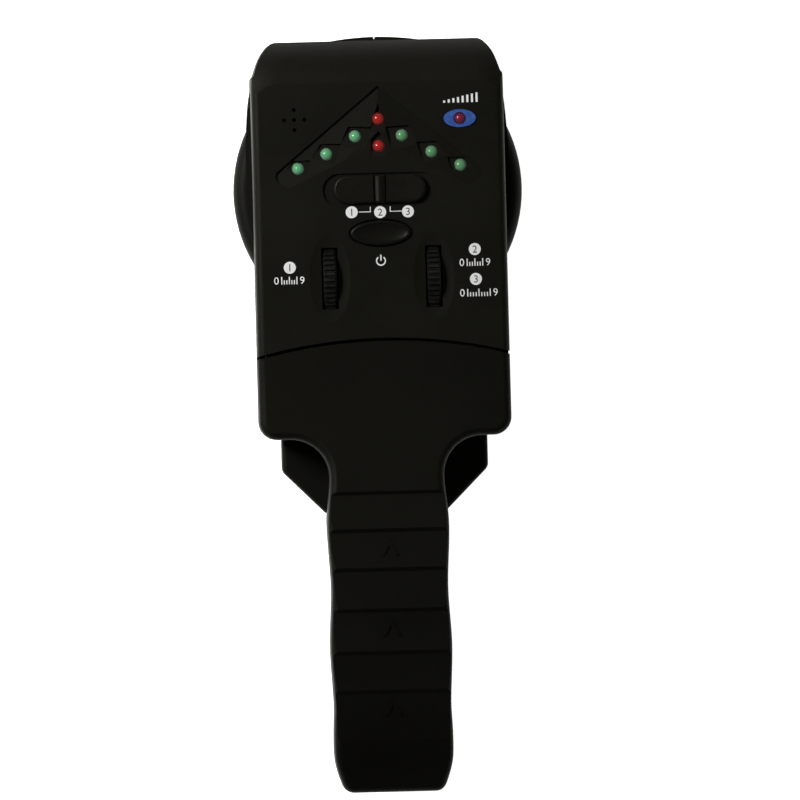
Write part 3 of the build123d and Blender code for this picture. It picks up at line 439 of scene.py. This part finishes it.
# mode marks under the slide, with their leader lines
marks = [(-7.38, -5.65, "1"), (-0.05, -5.80, "2"), (7.12, -5.80, "3")]
wheel_marks = [(-23.7, -19.55, "1"), (24.1, -15.95, "2"), (24.2, -23.65, "3")]
film("mode_mark_discs", [(circle(px, py, 1.55), None) for px, py, _ in marks])
film("wheel_mark_discs", [(circle(px, py, 1.55), None) for px, py, _ in wheel_marks])
ink_dark = plain_detail("dark_print", (0.010, 0.010, 0.009), (0.016, 0.016, 0.014), 0.6)
for k, (px, py, t) in enumerate(marks):
    digits(f"mode_digit_{t}", t, px, py, 1.95, ink_dark, Z1 + 0.000004, Z1 + 0.000024)
for k, (px, py, t) in enumerate(wheel_marks):
    digits(f"wheel_digit_{t}", t, px, py, 1.95, ink_dark, Z1 + 0.000004, Z1 + 0.000024)
LW = 0.21
lines = []
for s in (-1, 1):
    xo, xi = s * 5.55, s * 2.46
    lines.append(([(xo, -5.65 - LW / 2), (xi, -5.65 - LW / 2), (xi, -4.35), (xi + s * LW, -4.35), (xi + s * LW, -5.65 + LW / 2), (xo, -5.65 + LW / 2)][:: (1 if s < 0 else -1)], None))
film("mode_leader_lines", lines)
# on/off mark: open ring and bar
film("power_mark", [(arc_band(-0.15, -18.35, 1.12, 0.34, math.radians(128), math.radians(412)), None), (bar(-0.32, -18.35, 0.02, -16.75), None)])
# plain level ramp above the power lamp
film("power_ramp", [(bar(16.9 + 1.2 * k, 21.95, 17.45 + 1.2 * k, 22.55 + 0.27 * k), None) for k in range(8)])
# plain scales beside the wheels: 0, a run of ticks, 9
def scale_mark(name, cx, cy, width, height, n):
    half = width / 2
    digits(f"{name}_low", "0", cx - half + 0.62, cy, height, INK, TOP + LIFT, Z1)
    digits(f"{name}_high", "9", cx + half - 0.62, cy, height, INK, TOP + LIFT, Z1)
    x0, x1 = cx - half + 2.0, cx + half - 2.0
    ticks = []
    for k in range(n):
        x = x0 + (x1 - x0) * k / (n - 1)
        tall = height if k in (0, n // 2, n - 1) else height * 0.55
        ticks.append((bar(x - 0.14, cy - height / 2, x + 0.14, cy - height / 2 + tall), None))
    film(f"{name}_ticks", ticks)


scale_mark("left_wheel_scale", -23.9, -22.85, 7.9, 1.95, 7)
scale_mark("right_wheel_scale_upper", 24.06, -19.3, 8.0, 1.95, 7)
scale_mark("right_wheel_scale_lower", 24.9, -27.15, 9.8, 1.95, 9)

# ------------------------------------------------------------------------------------------------ floor, light, camera
FLOOR = Mat("pale_floor", (0.93, 0.93, 0.93), 0.75, Specular_IOR_Level=0.1)
w = FLOOR.noise(6.0, 3.0, 0.5)
FLOOR.color(FLOOR.ramp(w, [(0.3, (0.925, 0.925, 0.925)), (0.7, (0.94, 0.94, 0.94))]))
FLOOR.b.inputs["Emission Color"].default_value = (1, 1, 1, 1)
FLOOR.b.inputs["Emission Strength"].default_value = 1.0
bm = bmesh.new()
bmesh.ops.create_grid(bm, x_segments=8, y_segments=8, size=3.0)
me = bpy.data.meshes.new("floor")
bm.to_mesh(me)
bm.free()
floor = bpy.data.objects.new("floor", me)
bpy.context.collection.objects.link(floor)
floor.location = (0, 0, -0.0003)
me.materials.append(FLOOR.m)

world = bpy.data.worlds.new("studio")
bpy.context.scene.world = world
world.use_nodes = True
sky = world.node_tree
dirs = sky.nodes.new("ShaderNodeTexCoord")
split = sky.nodes.new("ShaderNodeSeparateXYZ")
sky.links.new(dirs.outputs["Generated"], split.inputs[0])
fade = sky.nodes.new("ShaderNodeValToRGB")
fade.color_ramp.elements[0].position, fade.color_ramp.elements[0].color = 0.06, (0.55, 0.55, 0.55, 1)
fade.color_ramp.elements[1].position, fade.color_ramp.elements[1].color = 0.34, (0.085, 0.085, 0.085, 1)
sky.links.new(split.outputs[2], fade.inputs[0])
sky.links.new(fade.outputs[0], sky.nodes["Background"].inputs["Color"])
sky.nodes["Background"].inputs["Strength"].default_value = 1.0


def area(name, loc, target, size, power, size_y=None, spread=180.0):
    l = bpy.data.lights.new(name, "AREA")
    l.energy = power
    l.shape = "RECTANGLE"
    l.size = size
    l.size_y = size_y or size
    l.spread = math.radians(spread)
    o = bpy.data.objects.new(name, l)
    bpy.context.collection.objects.link(o)
    o.location = loc
    d = Vector(target) - Vector(loc)
    o.rotation_euler = d.to_track_quat("-Z", "Y").to_euler()
    o.visible_camera = False
    return o


area("key_overhead_left", (-0.46, 0.24, 0.56), (-0.070, 0.050, 0.03), 0.22, 0.46, spread=48.0)
area("fill_right", (1.2, 0.1, 1.1), (0, -0.05, 0), 0.9, 0.25)

theta = math.radians(1.23)
roll_s, roll_c = 0.02574, 0.99967
back = Vector((-math.sin(theta), 0, math.cos(theta)))
r0 = Vector((math.cos(theta), 0, math.sin(theta)))
u0 = Vector((0, 1, 0))
right = roll_c * r0 - roll_s * u0
up = roll_s * r0 + roll_c * u0
K = 0.2588 * MM                       # metres per picture unit at the wall plane
DIST = 8.0
aim = Vector((0, 0, 0)) + right * (22.8 * K) - up * (209.5 * K)
cam_data = bpy.data.cameras.new("camera")
cam_data.sensor_width = 36.0
cam_data.lens = 36.0 / 800.0 / K * DIST
cam_data.clip_end = 40.0
cam = bpy.data.objects.new("camera", cam_data)
bpy.context.collection.objects.link(cam)
pos = aim + back * DIST
cam.matrix_world = Matrix(((right.x, up.x, back.x, pos.x), (right.y, up.y, back.y, pos.y), (right.z, up.z, back.z, pos.z), (0, 0, 0, 1)))
bpy.context.scene.camera = cam
bpy.context.scene.view_settings.view_transform = "Standard"
bpy.context.scene.view_settings.exposure = 0.0
